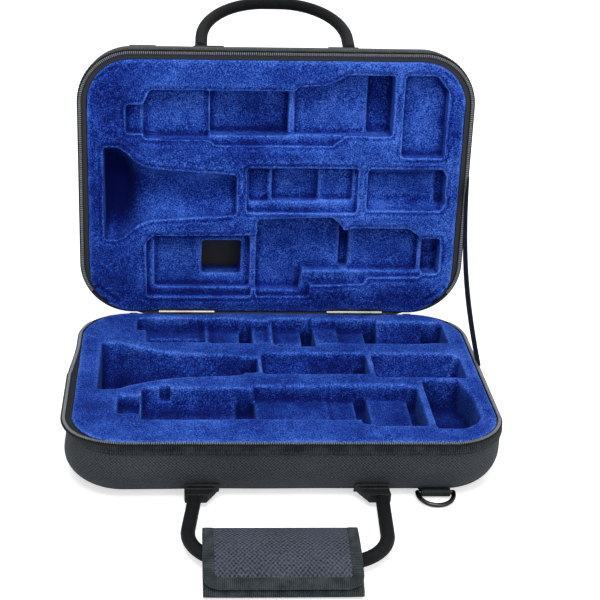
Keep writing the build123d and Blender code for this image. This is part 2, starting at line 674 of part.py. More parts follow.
# Grip on the base loop
hollow = Pos(0, PIVOT_Y, PIVOT_Z) * base_slope * make_loop(
    LOOP_FOOT_X, LOOP_LEFT_X, LOOP_RIGHT_X, LOOP_REACH, LOOP_BEND_R, TUBE_R + LAYER_GAP)
save("grip_sleeve", at_grip(make_sleeve()) - hollow)
patch_y = -HOOK_L / 2 - 5
loop_top = 0.2 + HOOK_T
hook_low = loop_top + LAYER_GAP
flap_low = hook_low + HOOK_T + 0.1
binding_low = flap_low + FLAP_T + 0.1
flap_front, flap_back = -GRIP_L / 2 + 2, GRIP_L / 2 - 3
save("grip_loop_patch", at_grip(grip_layer(-HOOK_W / 2, HOOK_W / 2, patch_y - HOOK_L / 2,
                                           patch_y + HOOK_L / 2, 0.2, loop_top)))
save("grip_hook_patch", at_grip(grip_layer(-HOOK_W / 2, HOOK_W / 2, patch_y - HOOK_L / 2,
                                           patch_y + HOOK_L / 2, hook_low,
                                           hook_low + HOOK_T)))
flap_outline = extrude(Pos(0, (flap_front + flap_back) / 2 + 10) * RectangleRounded(
    GRIP_W, flap_back - flap_front + 20, 10), GRIP_T)
flap_field = extrude(Pos(0, (flap_front + flap_back) / 2 + 10) * RectangleRounded(
    GRIP_W - 2 * FLAP_BINDING_W, flap_back - flap_front + 20 - 2 * FLAP_BINDING_W, 8), GRIP_T)
save("grip_flap", at_grip(grip_layer(-GRIP_W, GRIP_W, flap_front - 5, flap_back,
                                     flap_low, flap_low + FLAP_T) & flap_outline))
save("grip_flap_binding",
     at_grip((grip_layer(-GRIP_W, GRIP_W, flap_front - 5, flap_back, binding_low,
                         binding_low + FLAP_BINDING_T) & flap_outline) - flap_field))

# D-rings, one at the base's front right and its partner at the lid's front left
ring_y, ring_z = ring_place(RING_ANGLE)
save("base_d_ring_tab", make_ring_tab(RING_X))
ring_dip = degrees(asin((ring_z - RING_TIP_Z) / (RING_LEG + RING_W / 2)))
save("base_d_ring", Pos(RING_X, ring_y, ring_z) * Rot(ring_dip - 90, 0, 0) * make_d_ring())
save("lid_d_ring_tab", on_lid(make_ring_tab(-RING_X)))
lid_ring_open = lid_point(ring_y, ring_z)
ring_droop = RING_ANGLE + (OPEN_ANGLE - 90) + 4.0    # lies on its tab, tip down
save("lid_d_ring", Pos(-RING_X, *lid_ring_open) * Rot(90 - ring_droop, 0, 0) * make_d_ring())

# Zip sliders with their pulls, and the stops at the zip's two ends
for word, side in (("left", -1), ("right", 1)):
    save(f"zip_slider_{word}", at_slider(make_slider(), side))
    save(f"zip_pull_{word}", at_slider(make_pull(), side))
stop_top = BASE_H - PARTING_GAP - COIL_H - 0.1
save("zip_end_stops", *[
    block(min(side * (ZIP_BACK_X - 6), side * (ZIP_BACK_X - LAYER_GAP)),
          max(side * (ZIP_BACK_X - 6), side * (ZIP_BACK_X - LAYER_GAP)),
          Y_BACK + LAYER_GAP / 2, Y_BACK + TAPE_OUT + 0.4, stop_top - TAPE_DROP, stop_top)
    for side in (-1, 1)])
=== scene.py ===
from math import acos, asin, cos, exp, hypot, pi, radians, sin, sqrt, tan

import bpy
from mathutils import Matrix, Vector, kdtree, noise


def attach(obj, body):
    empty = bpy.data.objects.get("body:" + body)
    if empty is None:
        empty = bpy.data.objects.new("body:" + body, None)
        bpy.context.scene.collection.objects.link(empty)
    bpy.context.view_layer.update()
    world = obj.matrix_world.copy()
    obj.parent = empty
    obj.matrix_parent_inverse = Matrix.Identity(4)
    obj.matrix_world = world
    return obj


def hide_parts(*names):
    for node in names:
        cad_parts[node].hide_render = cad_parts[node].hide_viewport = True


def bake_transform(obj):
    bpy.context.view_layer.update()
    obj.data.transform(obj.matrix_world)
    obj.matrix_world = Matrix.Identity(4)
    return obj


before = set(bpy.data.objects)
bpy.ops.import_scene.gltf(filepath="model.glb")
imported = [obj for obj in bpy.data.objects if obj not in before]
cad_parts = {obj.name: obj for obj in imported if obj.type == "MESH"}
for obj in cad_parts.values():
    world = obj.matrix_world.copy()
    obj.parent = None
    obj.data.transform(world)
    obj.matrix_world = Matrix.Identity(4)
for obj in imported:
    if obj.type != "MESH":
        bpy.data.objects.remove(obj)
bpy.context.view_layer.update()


# Camera: stands to the left of the handle side and looks down into the open case.
# A long lens, with the frame shifted a little so that the case keeps its perspective.
camera_data = bpy.data.cameras.new("studio camera")
camera_data.lens = 85.44
camera_data.sensor_width = 36.0
camera_data.shift_x = 0.1083
camera = bpy.data.objects.new("studio camera", camera_data)
bpy.context.scene.collection.objects.link(camera)
camera.matrix_world = (Matrix.Translation((-0.088, -1.0514, 0.588))
                       @ Matrix.Rotation(radians(-2.72), 4, "Z")
                       @ Matrix.Rotation(radians(90 - 24.1), 4, "X")
                       @ Matrix.Rotation(radians(1.36), 4, "Z"))
bpy.context.scene.camera = camera


# Floor and light: a white sweep that the camera sees as plain white, a broad softbox
# over the front, weaker ones at the right and behind, and an even pale surround.
def srgb(colour):
    """An sRGB hex colour as linear red, green, blue and alpha."""
    parts = [int(colour[i:i + 2], 16) / 255 for i in (1, 3, 5)]
    linear = [p / 12.92 if p <= 0.04045 else ((p + 0.055) / 1.055) ** 2.4 for p in parts]
    return linear + [1.0]


def add_node(tree, kind, values=None, **settings):
    """Adds a node; a value that is a socket is linked, any other is set."""
    made = tree.nodes.new(kind)
    for name, value in settings.items():
        setattr(made, name, value)
    for name, value in (values or {}).items():
        if isinstance(value, bpy.types.NodeSocket):
            tree.links.new(value, made.inputs[name])
        else:
            made.inputs[name].default_value = value
    return made


def new_material(name):
    made = bpy.data.materials.new(name)
    made.use_nodes = True
    made.node_tree.nodes.clear()
    return made, made.node_tree


def two_tone(tree, value, low, dark, high, light):
    """A ramp from a dark colour at low to a light one at high."""
    made = add_node(tree, "ShaderNodeValToRGB", {"Fac": value})
    for element, position, colour in zip(made.color_ramp.elements, (low, high),
                                         (dark, light)):
        element.position = position
        element.color = colour
    return made


bpy.ops.object.select_all(action="DESELECT")
bpy.ops.mesh.primitive_plane_add(size=12.0, location=(0, 0, -0.0004))
floor = bpy.context.active_object
floor.name = "floor"
floor_paint, tree = new_material("matt white paint")
lit = add_node(tree, "ShaderNodeBsdfPrincipled",
               {"Base Color": srgb("#F2F2F2"), "Roughness": 0.9})
plain = add_node(tree, "ShaderNodeEmission", {"Color": (1, 1, 1, 1), "Strength": 0.62})
seen = add_node(tree, "ShaderNodeLightPath")
both = add_node(tree, "ShaderNodeAddShader")
tree.links.new(lit.outputs["BSDF"], both.inputs[0])
tree.links.new(plain.outputs["Emission"], both.inputs[1])
mix = add_node(tree, "ShaderNodeMixShader", {"Fac": seen.outputs["Is Camera Ray"]})
tree.links.new(lit.outputs["BSDF"], mix.inputs[1])
tree.links.new(both.outputs["Shader"], mix.inputs[2])
add_node(tree, "ShaderNodeOutputMaterial", {"Surface": mix.outputs["Shader"]})
floor.data.materials.append(floor_paint)

world = bpy.data.worlds.new("studio")
bpy.context.scene.world = world
world.use_nodes = True
tree = world.node_tree
tree.nodes.clear()
seen = add_node(tree, "ShaderNodeLightPath")
bright = add_node(tree, "ShaderNodeMath", {0: seen.outputs["Is Camera Ray"],
                                           1: seen.outputs["Is Glossy Ray"]},
                  operation="MAXIMUM")
surround = add_node(tree, "ShaderNodeBackground", {"Color": (1, 1, 1, 1), "Strength": 0.34})
backdrop = add_node(tree, "ShaderNodeBackground", {"Color": (1, 1, 1, 1), "Strength": 1.0})
mix = add_node(tree, "ShaderNodeMixShader", {"Fac": bright.outputs["Value"]})
tree.links.new(surround.outputs["Background"], mix.inputs[1])
tree.links.new(backdrop.outputs["Background"], mix.inputs[2])
add_node(tree, "ShaderNodeOutputWorld", {"Surface": mix.outputs["Shader"]})

for name, place, size, power in (("key softbox", (-0.1, -0.9, 1.9), 1.1, 30.0),
                                 ("fill softbox", (0.9, -1.6, 0.9), 1.2, 8.0),
                                 ("back softbox", (0.3, 1.6, 1.4), 1.4, 8.0)):
    lamp_data = bpy.data.lights.new(name, "AREA")
    lamp_data.shape = "SQUARE"
    lamp_data.size = size
    lamp_data.energy = power
    lamp = bpy.data.objects.new(name, lamp_data)
    bpy.context.scene.collection.objects.link(lamp)
    lamp.location = place
    aim = Vector((0, 0.05, 0.12)) - Vector(place)
    lamp.rotation_euler = aim.to_track_quat("-Z", "Y").to_euler()

bpy.context.scene.view_settings.view_transform = "Standard"


# Plush inserts: a moulded foam block in each half with royal-blue velour drawn over it.
# The cavities' edges are soft because the pile and the foam round them over, so the
# blocks are remeshed and relaxed; the pile itself is speckled and catches light edge-on.
PLUSH_VOXEL = 0.0016
PLUSH_RELAX = {"base": 9, "lid": 4}
PILE_LUMP = 0.0003          # how far the foam under the velour is uneven
OVERHANG = 0.0030           # the base's plush swells over the rim, this far inside it
TUCK_AT = 0.0046            # a second seam line round each of the lid's cavities
TUCK_WIDTH = 0.0011
TUCK_DEPTH = 0.0011
PILE_GRAIN = ((950.0, 2.0, 1.30),       # noise scale, detail and weight: the pile,
              (260.0, 2.0, 0.26),       # its tufts
              (22.0, 3.0, 0.56))        # and brushed patches
PILE_MIDDLE = -0.59         # brings the summed noise to the middle of the tones
# painted shade: how far the depth attribute darkens the plush in its cavities (on the lid
# it also lightens shallow floors)
DEPTH_SHADE_TONE = -0.26
# painted shade in creases and painted highlights on ridges
CREASE_SHADE_TONE = 1.15
SINK = 0.0001               # keeps the uneven pile inside the block
LUMPS = ((55.0, 1.0), (130.0, 0.5))     # noise scale and weight of the uneven foam
# Painted shade of a block: weight and power of its depth, and a weight that paints the
# lid's shallow floors lighter and its face's left and low parts darker.
SHADING = {"base": (1.2, 1, 0), "lid": (2.8, 3, 0.65)}
DARKER_LEFT_FROM = (0.112, 0.02)    # the lid's face is darker from here outwards to the left
DARKER_LOW_FROM = (0.078, 0.01)
# Painted shade where the plush bends inward and painted highlight where it bends outward.
CREASE_SHADE_GAIN = 1.5
DARKEST_CREASE_SHADE = -0.5
BRIGHTEST_RIDGE_HIGHLIGHT = 0.38
TUCK_EDGE = (0.003, 0.006)  # depths that mark a cavity's wall below the face
TUCK_FACE = 0.0012
TUCK_FIELD = (0.155, 0.108)
SWELL_INNER = -0.0090
SWELL_TOP = 0.05185
SWELL_LOW = 0.0496
DEEPEST = 0.042
CORNER_X = 0.124
CORNER_Y = 0.07235
OUTLINE_R = 0.046
EDGE_R = 0.028
BASE_H = 0.052
LID_H = 0.046
HINGE = Vector((0, 0.11865, BASE_H))
OPEN_ANGLE = radians(92)
GRID_MERGE = 0.000002
CAD_MERGE = 0.00001
SKIN_T = 0.0006
QUARTER = OUTLINE_R * pi / 2
OUTLINE_LENGTH = 4 * CORNER_X + 4 * CORNER_Y + 4 * QUARTER
LID_TURN = (Matrix.Translation(HINGE) @ Matrix.Rotation(-OPEN_ANGLE, 4, "X")
            @ Matrix.Translation(-HINGE) @ Matrix.Translation((0, 0, BASE_H + LID_H))
            @ Matrix.Scale(-1, 4, (0, 0, 1)))


def outline(distance, out=0.0):
    """Point on the case's outline, walked clockwise from the middle of the back."""
    radius = OUTLINE_R + out
    legs = ((CORNER_X, (0, 1), (1, 0), (0, CORNER_Y)), (QUARTER, (1, 1)),
            (2 * CORNER_Y, (1, 0), (0, -1), (CORNER_X, CORNER_Y)), (QUARTER, (1, -1)),
            (2 * CORNER_X, (0, -1), (-1, 0), (CORNER_X, -CORNER_Y)), (QUARTER, (-1, -1)),
            (2 * CORNER_Y, (-1, 0), (0, 1), (-CORNER_X, -CORNER_Y)), (QUARTER, (-1, 1)),
            (CORNER_X, (0, 1), (1, 0), (-CORNER_X, CORNER_Y)))
    left = distance % OUTLINE_LENGTH
    for turn, leg in enumerate(legs):
        if left <= leg[0] or turn == len(legs) - 1:
            break
        left -= leg[0]
    if len(leg) == 2:
        angle = radians(90 - 90 * (turn // 2)) - left / OUTLINE_R
        return Vector((leg[1][0] * CORNER_X + radius * cos(angle),
                       leg[1][1] * CORNER_Y + radius * sin(angle)))
    normal, along, start = leg[1:]
    return Vector((start[0] + along[0] * left + normal[0] * radius,
                   start[1] + along[1] * left + normal[1] * radius))


def clamp(value):
    return min(1.0, max(0.0, value))


def ease(share):
    """A share from 0 to 1, eased at both ends."""
    return share * share * (3 - 2 * share)


def select_only(obj):
    bpy.ops.object.select_all(action="DESELECT")
    obj.select_set(True)
    bpy.context.view_layer.objects.active = obj


def merge_close(obj, distance):
    """Merges vertices that lie within a distance of each other."""
    select_only(obj)
    bpy.ops.object.mode_set(mode="EDIT")
    bpy.ops.mesh.select_all(action="SELECT")
    bpy.ops.mesh.remove_doubles(threshold=distance)
    bpy.ops.object.mode_set(mode="OBJECT")


def copy_of(node, name):
    """A CAD node's mesh as a new object, to be worked on."""
    made = bpy.data.objects.new(name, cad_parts[node].data.copy())
    bpy.context.scene.collection.objects.link(made)
    return made


def bent_grid(name, across, along, place, size=(1, 1)):
    """A grid primitive, each vertex carried to place(u, v), with UVs in metres."""
    bpy.ops.object.select_all(action="DESELECT")
    bpy.ops.mesh.primitive_grid_add(x_subdivisions=across, y_subdivisions=along, size=1,
                                    calc_uvs=True)
    made = bpy.context.active_object
    made.name = name
    made.data.name = name
    shares = [(v.co.x + 0.5, v.co.y + 0.5) for v in made.data.vertices]
    for vertex, share in zip(made.data.vertices, shares):
        vertex.co = place(*share)
    cloth = made.data.uv_layers.active.data
    for loop in made.data.loops:
        u, v = shares[loop.vertex_index]
        cloth[loop.index].uv = (u * size[0], v * size[1])
    merge_close(made, GRID_MERGE)
    return made


def apply_modifier(obj, kind, **settings):
    select_only(obj)
    made = obj.modifiers.new(kind.lower(), kind)
    for name, value in settings.items():
        setattr(made, name, value)
    bpy.ops.object.modifier_apply(modifier=made.name)


def smooth(obj, angle=None):
    select_only(obj)
    if angle is None:
        bpy.ops.object.shade_smooth()
    else:
        bpy.ops.object.shade_smooth_by_angle(angle=radians(angle))


def dress(obj, material):
    obj.data.materials.clear()
    obj.data.materials.append(material)


def place_on(obj, body, *nodes):
    """The piece rides on a body and stands for CAD nodes."""
    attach(obj, body)
    if nodes:
        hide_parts(*nodes)


def velour(name):
    """Short royal-blue pile: dark roots, lit tips and large random patches; painted shade
    in hollows and creases, painted highlights on ridges, painted light on the lid's shallow
    floors, and the lid's face darker to the left and at the bottom.
    """
    made, tree = new_material(name)
    place = add_node(tree, "ShaderNodeTexCoord")
    depth_shade_and_patches = add_node(tree, "ShaderNodeAttribute", attribute_name="depth_shade_and_patches")
    crease_shade_and_highlight = add_node(tree, "ShaderNodeAttribute", attribute_name="crease_shade_and_highlight")
    total = None
    for scale, detail, weight in PILE_GRAIN:
        grain = add_node(tree, "ShaderNodeTexNoise", {"Vector": place.outputs["Object"],
                                                      "Scale": scale, "Detail": detail,
                                                      "Roughness": 0.7})
        total = add_node(tree, "ShaderNodeMath",
                         {0: grain.outputs["Fac"], 1: weight,
                          2: total.outputs["Value"] if total else PILE_MIDDLE},
                         operation="MULTIPLY_ADD")
    # Painted shade by depth in the cavities; on the lid also painted light on shallow
    # floors and darker left and low parts of the face.
    sunk = add_node(tree, "ShaderNodeMath", {0: depth_shade_and_patches.outputs["Fac"], 1: DEPTH_SHADE_TONE,
                                             2: total.outputs["Value"]},
                    operation="MULTIPLY_ADD")
    # Painted shade in creases and painted highlights on ridges, from how sharply the plush
    # bends.
    wear_and_crease_shade = add_node(tree, "ShaderNodeMath", {0: crease_shade_and_highlight.outputs["Fac"], 1: CREASE_SHADE_TONE,
                                             2: sunk.outputs["Value"]},
                    operation="MULTIPLY_ADD")
    shade = two_tone(tree, wear_and_crease_shade.outputs["Value"], 0.24, srgb("#050E50"),
                     0.80, srgb("#5D86E8"))
    for position, colour in ((0.42, "#122D8A"), (0.56, "#2A54B6")):
        shade.color_ramp.elements.new(position).color = srgb(colour)
    rough = add_node(tree, "ShaderNodeBump", {"Height": total.outputs["Value"],
                                              "Strength": 0.6, "Distance": 0.0006})
    skin = add_node(tree, "ShaderNodeBsdfPrincipled",
                    {"Base Color": shade.outputs["Color"], "Roughness": 0.95,
                     "Specular IOR Level": 0.1, "Sheen Weight": 0.24,
                     "Sheen Roughness": 0.4, "Sheen Tint": srgb("#5286F0"),
                     "Normal": rough.outputs["Normal"]})
    add_node(tree, "ShaderNodeOutputMaterial", {"Surface": skin.outputs["BSDF"]})
    return made


blue_velour = velour("royal-blue velour")


def note_form(block, to_tub, height, strength, power, patch_and_floor_light):
    """Stores on each vertex its painted shade by depth and its painted crease shade or
    ridge highlight; on the lid, shallow floors get painted light and the face's left and
    low parts are darker.
    """
    mesh = block.data
    spots = [vertex.co.copy() for vertex in mesh.vertices]
    outward = [vertex.normal.copy() for vertex in mesh.vertices]
    bend = [0.0] * len(spots)
    near = [[] for _ in spots]
    for edge in mesh.edges:
        a, b = edge.vertices
        step = (spots[b] - spots[a]).normalized()
        bend[a] -= step.dot(outward[a])
        bend[b] += step.dot(outward[b])
        near[a].append(b)
        near[b].append(a)
    bend = [value / max(1, len(around)) for value, around in zip(bend, near)]
    bend = [(value + sum(bend[i] for i in around)) / (1 + len(around))
            for value, around in zip(bend, near)]
    # Painted shade where the plush bends inward, painted highlight where it bends outward.
    crease_shade_and_highlight = mesh.attributes.new("crease_shade_and_highlight", "FLOAT", "POINT")
    depth_shade_and_patches = mesh.attributes.new("depth_shade_and_patches", "FLOAT", "POINT")
    crease_shade_and_highlight.data.foreach_set("value", [max(DARKEST_CREASE_SHADE, CREASE_SHADE_GAIN * value) if value < 0
                                      else min(BRIGHTEST_RIDGE_HIGHLIGHT, value) for value in bend])
    # Painted shade: the deeper below the face, the darker; on the lid, shallow floors are
    # painted lighter and the face's left and low parts darker.
    depths = [clamp((height - (to_tub @ spot).z) / DEEPEST) for spot in spots]
    side_patches = [patch_and_floor_light * max(clamp((-spot.x - DARKER_LEFT_FROM[0]) / DARKER_LEFT_FROM[1]),
                          clamp((DARKER_LOW_FROM[0] - spot.z) / DARKER_LOW_FROM[1]))
            for spot in spots]
    depth_shade_and_patches.data.foreach_set("value", [strength * depth ** power + patch_and_floor_light * (side_patch - depth)
                                      for depth, side_patch in zip(depths, side_patches)])


def tuck(block, to_tub, height):
    """A shallow seam line on the face, a little way out from every cavity's edge."""
    depths = [height - (to_tub @ vertex.co).z for vertex in block.data.vertices]
    rim = min(depths)
    sunk = [vertex.co for vertex, depth in zip(block.data.vertices, depths)
            if rim + TUCK_EDGE[0] < depth < rim + TUCK_EDGE[1]
            and abs(vertex.co.x) <= TUCK_FIELD[0]
            and abs((to_tub @ vertex.co).y) < TUCK_FIELD[1]]
    edges = kdtree.KDTree(len(sunk))
    for i, spot in enumerate(sunk):
        edges.insert(spot, i)
    edges.balance()
    inward = (to_tub.inverted().to_3x3() @ Vector((0, 0, -1))).normalized()
    for vertex, depth in zip(block.data.vertices, depths):
        if depth < rim + TUCK_FACE:
            away = edges.find(vertex.co)[2]
            fold = exp(-((away - TUCK_AT) / TUCK_WIDTH) ** 2)
            vertex.co += inward * (TUCK_DEPTH * fold)


def rim_swell():
    """A flat ring that carries the base's plush out over the rim, up to the zip."""
    section = ((SWELL_INNER, SWELL_TOP), (-OVERHANG, SWELL_TOP), (-OVERHANG, SWELL_LOW),
               (SWELL_INNER, SWELL_LOW), (SWELL_INNER, SWELL_TOP))

    def place(u, v):
        out, z = section[round(v * 4)]
        flat = outline(u * OUTLINE_LENGTH, out)
        return Vector((flat.x, flat.y, z))

    return bent_grid("rim-swell", 240, 4, place)


def plush_block(name, node, body):
    """A CAD insert as a soft block: merged, remeshed, relaxed and a little uneven."""
    block = copy_of(node, name)
    if body == "base":
        ring = rim_swell()
        select_only(block)
        ring.select_set(True)
        bpy.ops.object.join()
    merge_close(block, CAD_MERGE)
    apply_modifier(block, "REMESH", mode="VOXEL", voxel_size=PLUSH_VOXEL)
    apply_modifier(block, "SMOOTH", factor=0.5, iterations=PLUSH_RELAX[body])
    to_tub = Matrix() if body == "base" else LID_TURN.inverted()
    height = BASE_H if body == "base" else LID_H
    if body == "lid":
        tuck(block, to_tub, height)
        block.data.update()
    outward = [vertex.normal.copy() for vertex in block.data.vertices]
    for vertex, away in zip(block.data.vertices, outward):
        lump = sum(weight * noise.noise(vertex.co * scale) for scale, weight in LUMPS)
        vertex.co += away * (lump * PILE_LUMP - SINK)
    block.data.update()
    note_form(block, to_tub, height, *SHADING[body])
    smooth(block)
    dress(block, blue_velour)
    return block


for body in ("base", "lid"):
    place_on(plush_block(f"{body}-plush", f"{body}_insert", body), body, f"{body}_insert")


# Nylon covers: one skin of coated ballistic nylon with thin foam behind it, drawn over
# the moulded tub and stitched under the zip. The basket weave is drawn a little coarser
# than real thread so that it shows.
def close_ends(obj):
    select_only(obj)
    bpy.ops.object.mode_set(mode="EDIT")
    bpy.ops.mesh.select_all(action="SELECT")
    bpy.ops.mesh.fill_holes(sides=0)
    bpy.ops.object.mode_set(mode="OBJECT")


def carry_to_lid(obj):
    """Turns a piece built on a tub at the origin over to the open lid."""
    obj.data.transform(LID_TURN)
    obj.data.flip_normals()


def woven(name, dark, light, thread, lift, rough=0.62, sheen=0.08):
    """Basket weave on UVs in metres; thread is one thread's width."""
    made, tree = new_material(name)
    place = add_node(tree, "ShaderNodeTexCoord")
    split = add_node(tree, "ShaderNodeSeparateXYZ", {"Vector": place.outputs["UV"]})
    waves = []
    for axis in ("X", "Y"):
        phase = add_node(tree, "ShaderNodeMath", {0: split.outputs[axis], 1: pi / thread},
                        operation="MULTIPLY")
        waves.append(add_node(tree, "ShaderNodeMath", {0: phase.outputs["Value"]},
                              operation="SINE"))
    weave = add_node(tree, "ShaderNodeMath", {0: waves[0].outputs["Value"],
                                              1: waves[1].outputs["Value"]},
                     operation="MULTIPLY")
    slub = add_node(tree, "ShaderNodeTexNoise", {"Vector": place.outputs["UV"],
                                                 "Scale": 0.9 / thread, "Detail": 2.0})
    cloudy = add_node(tree, "ShaderNodeTexNoise", {"Vector": place.outputs["Object"],
                                                   "Scale": 30.0, "Detail": 2.0})
    tone = add_node(tree, "ShaderNodeMath", {0: weave.outputs["Value"], 1: 0.28,
                                             2: slub.outputs["Fac"]},
                    operation="MULTIPLY_ADD")
    tone_2 = add_node(tree, "ShaderNodeMath", {0: cloudy.outputs["Fac"], 1: 0.35,
                                               2: tone.outputs["Value"]},
                      operation="MULTIPLY_ADD")
    shade = two_tone(tree, tone_2.outputs["Value"], 0.35, srgb(dark), 1.0, srgb(light))
    raised = add_node(tree, "ShaderNodeBump", {"Height": weave.outputs["Value"],
                                               "Strength": 0.8, "Distance": lift})
    skin = add_node(tree, "ShaderNodeBsdfPrincipled",
                    {"Base Color": shade.outputs["Color"], "Roughness": rough,
                     "Specular IOR Level": 0.15, "Sheen Weight": sheen,
                     "Sheen Roughness": 0.5, "Sheen Tint": srgb("#9AA4AE"),
                     "Normal": raised.outputs["Normal"]})
    add_node(tree, "ShaderNodeOutputMaterial", {"Surface": skin.outputs["BSDF"]})
    return made


ballistic_nylon = woven("coated ballistic nylon", "#1B1E22", "#454A50", 0.0013, 0.0003)


def skin_profile(height, share):
    """(inward, z, along) on the wall and the edge's curve."""
    rim = height - 0.00245
    wall = rim - EDGE_R
    arc = EDGE_R * pi / 2
    run = share * (wall + arc)
    if run <= wall:
        return 0.0, rim - run, run
    angle = (run - wall) / EDGE_R
    return EDGE_R * (1 - cos(angle)), EDGE_R * (1 - sin(angle)), run


BULGE = 0.022               # the base's left side stands out by this share
BULGE_START = 0.05
BULGE_RUN = 0.09
RIPPLE = 0.00035
RIPPLE_SCALE = 22.0


def make_skin(name, height, crown, body):
    """One nylon skin: rows down the wall and round the edge, then a slightly bowed cap."""
    wall_rows, cap_rows = 34, 10
    rows = wall_rows + cap_rows

    def place(u, v):
        row = v * rows
        distance = u * OUTLINE_LENGTH
        inward, z, run = skin_profile(height, min(row / wall_rows, 1.0))
        flat = outline(distance, -inward)
        if row > wall_rows:
            left = 1 - (row - wall_rows) / cap_rows
            z = -crown * (1 - left * left)
            flat = flat * left
        spot = Vector((flat.x, flat.y, z))
        if body == "base" and row <= wall_rows:
            share = clamp((-flat.x - BULGE_START) / BULGE_RUN)
            flat = flat * (1 + BULGE * ease(share) * sin(pi * row / wall_rows) ** 2)
            spot = Vector((flat.x, flat.y, z))
        if 0 < row <= wall_rows:
            ripple = noise.noise(spot * RIPPLE_SCALE) * RIPPLE
            spot += Vector((flat.x, flat.y, 0)).normalized() * ripple
        return spot

    skin = bent_grid(name, 360, rows, place)
    cloth = skin.data.uv_layers.active.data
    for face in skin.data.polygons:
        middle_v = sum(cloth[i].uv.y for i in face.loop_indices) / len(face.loop_indices)
        for i in face.loop_indices:
            u, v = cloth[i].uv
            if middle_v * rows < wall_rows:
                run = skin_profile(height, min(v * rows / wall_rows, 1.0))[2]
                cloth[i].uv = (u * OUTLINE_LENGTH, run)
            else:
                spot = skin.data.vertices[skin.data.loops[i].vertex_index].co
                cloth[i].uv = (spot.x, spot.y)
    apply_modifier(skin, "SOLIDIFY", thickness=SKIN_T, offset=-1.0)
    smooth(skin, 40)
    dress(skin, ballistic_nylon)
    return skin


base_skin = make_skin("base-nylon-cover", BASE_H, 0.0, "base")
place_on(base_skin, "base", "base_cover")
lid_skin = make_skin("lid-nylon-cover", LID_H, 0.0022, "lid")
carry_to_lid(lid_skin)
place_on(lid_skin, "lid", "lid_cover")


# Zip: nylon tape with a ribbed weave, folded over each rim and stitched down the wall,
# and a row of coil teeth at its free edge. Teeth and stitches are modelled once, arrayed
# and laid round the outline.
TAPE_OUT = 0.00095
TAPE_IN = 0.00015
TAPE_TOP = 0.00155          # below the parting plane
TAPE_T = 0.0008
TAPE_DROP = 0.008
RIM_LEG = 0.0028
RIM_FADE = 0.004            # run over which the tape climbs onto the rim
FLARE = 0.0048              # the base's left tape leans out, as a soft zip does
FLARE_BACK = 0.058
FADE_FRONT = 0.045
FADE_BACK = 0.075
BACK_X = 0.112
RIM_START = CORNER_X + OUTLINE_R * acos((0.11865 - 0.018 - CORNER_Y) / OUTLINE_R)
TOOTH_PITCH = 0.0017
STITCH_PITCH = 0.0034


def ribbed(name, dark, light, pitch, axis, rough=0.6, sheen=0.06):
    """Cross-ribbed weave, ribs along one UV axis."""
    made, tree = new_material(name)
    place = add_node(tree, "ShaderNodeTexCoord")
    split = add_node(tree, "ShaderNodeSeparateXYZ", {"Vector": place.outputs["UV"]})
    turn = add_node(tree, "ShaderNodeMath", {0: split.outputs[axis], 1: 2 * pi / pitch},
                    operation="MULTIPLY")
    wave = add_node(tree, "ShaderNodeMath", {0: turn.outputs["Value"]}, operation="SINE")
    other = "Y" if axis == "X" else "X"
    turn_2 = add_node(tree, "ShaderNodeMath", {0: split.outputs[other],
                                               1: 2 * pi / (pitch * 0.8)},
                      operation="MULTIPLY")
    wave_2 = add_node(tree, "ShaderNodeMath", {0: turn_2.outputs["Value"]},
                      operation="SINE")
    ribs = add_node(tree, "ShaderNodeMath", {0: wave_2.outputs["Value"], 1: 0.25,
                                             2: wave.outputs["Value"]},
                    operation="MULTIPLY_ADD")
    wear_and_crease_shade = add_node(tree, "ShaderNodeTexNoise", {"Vector": place.outputs["Object"],
                                                 "Scale": 120.0, "Detail": 3.0})
    tone = add_node(tree, "ShaderNodeMath", {0: ribs.outputs["Value"], 1: 0.16,
                                             2: wear_and_crease_shade.outputs["Fac"]},
                    operation="MULTIPLY_ADD")
    # Painted shade: the shadow attribute darkens the tape's top where it lies on the rim.
    rim_shade = add_node(tree, "ShaderNodeAttribute", attribute_name="shadow")
    tone = add_node(tree, "ShaderNodeMath", {0: rim_shade.outputs["Fac"], 1: -0.4,
                                             2: tone.outputs["Value"]},
                    operation="MULTIPLY_ADD")
    shade = two_tone(tree, tone.outputs["Value"], 0.25, srgb(dark), 0.8, srgb(light))
    raised = add_node(tree, "ShaderNodeBump", {"Height": ribs.outputs["Value"],
                                               "Strength": 0.8,
                                               "Distance": pitch * 0.22})
    skin = add_node(tree, "ShaderNodeBsdfPrincipled",
                    {"Base Color": shade.outputs["Color"], "Roughness": rough,
                     "Specular IOR Level": 0.12, "Sheen Weight": sheen,
                     "Sheen Roughness": 0.5, "Sheen Tint": srgb("#98A5AA"),
                     "Normal": raised.outputs["Normal"]})
    add_node(tree, "ShaderNodeOutputMaterial", {"Surface": skin.outputs["BSDF"]})
    return made


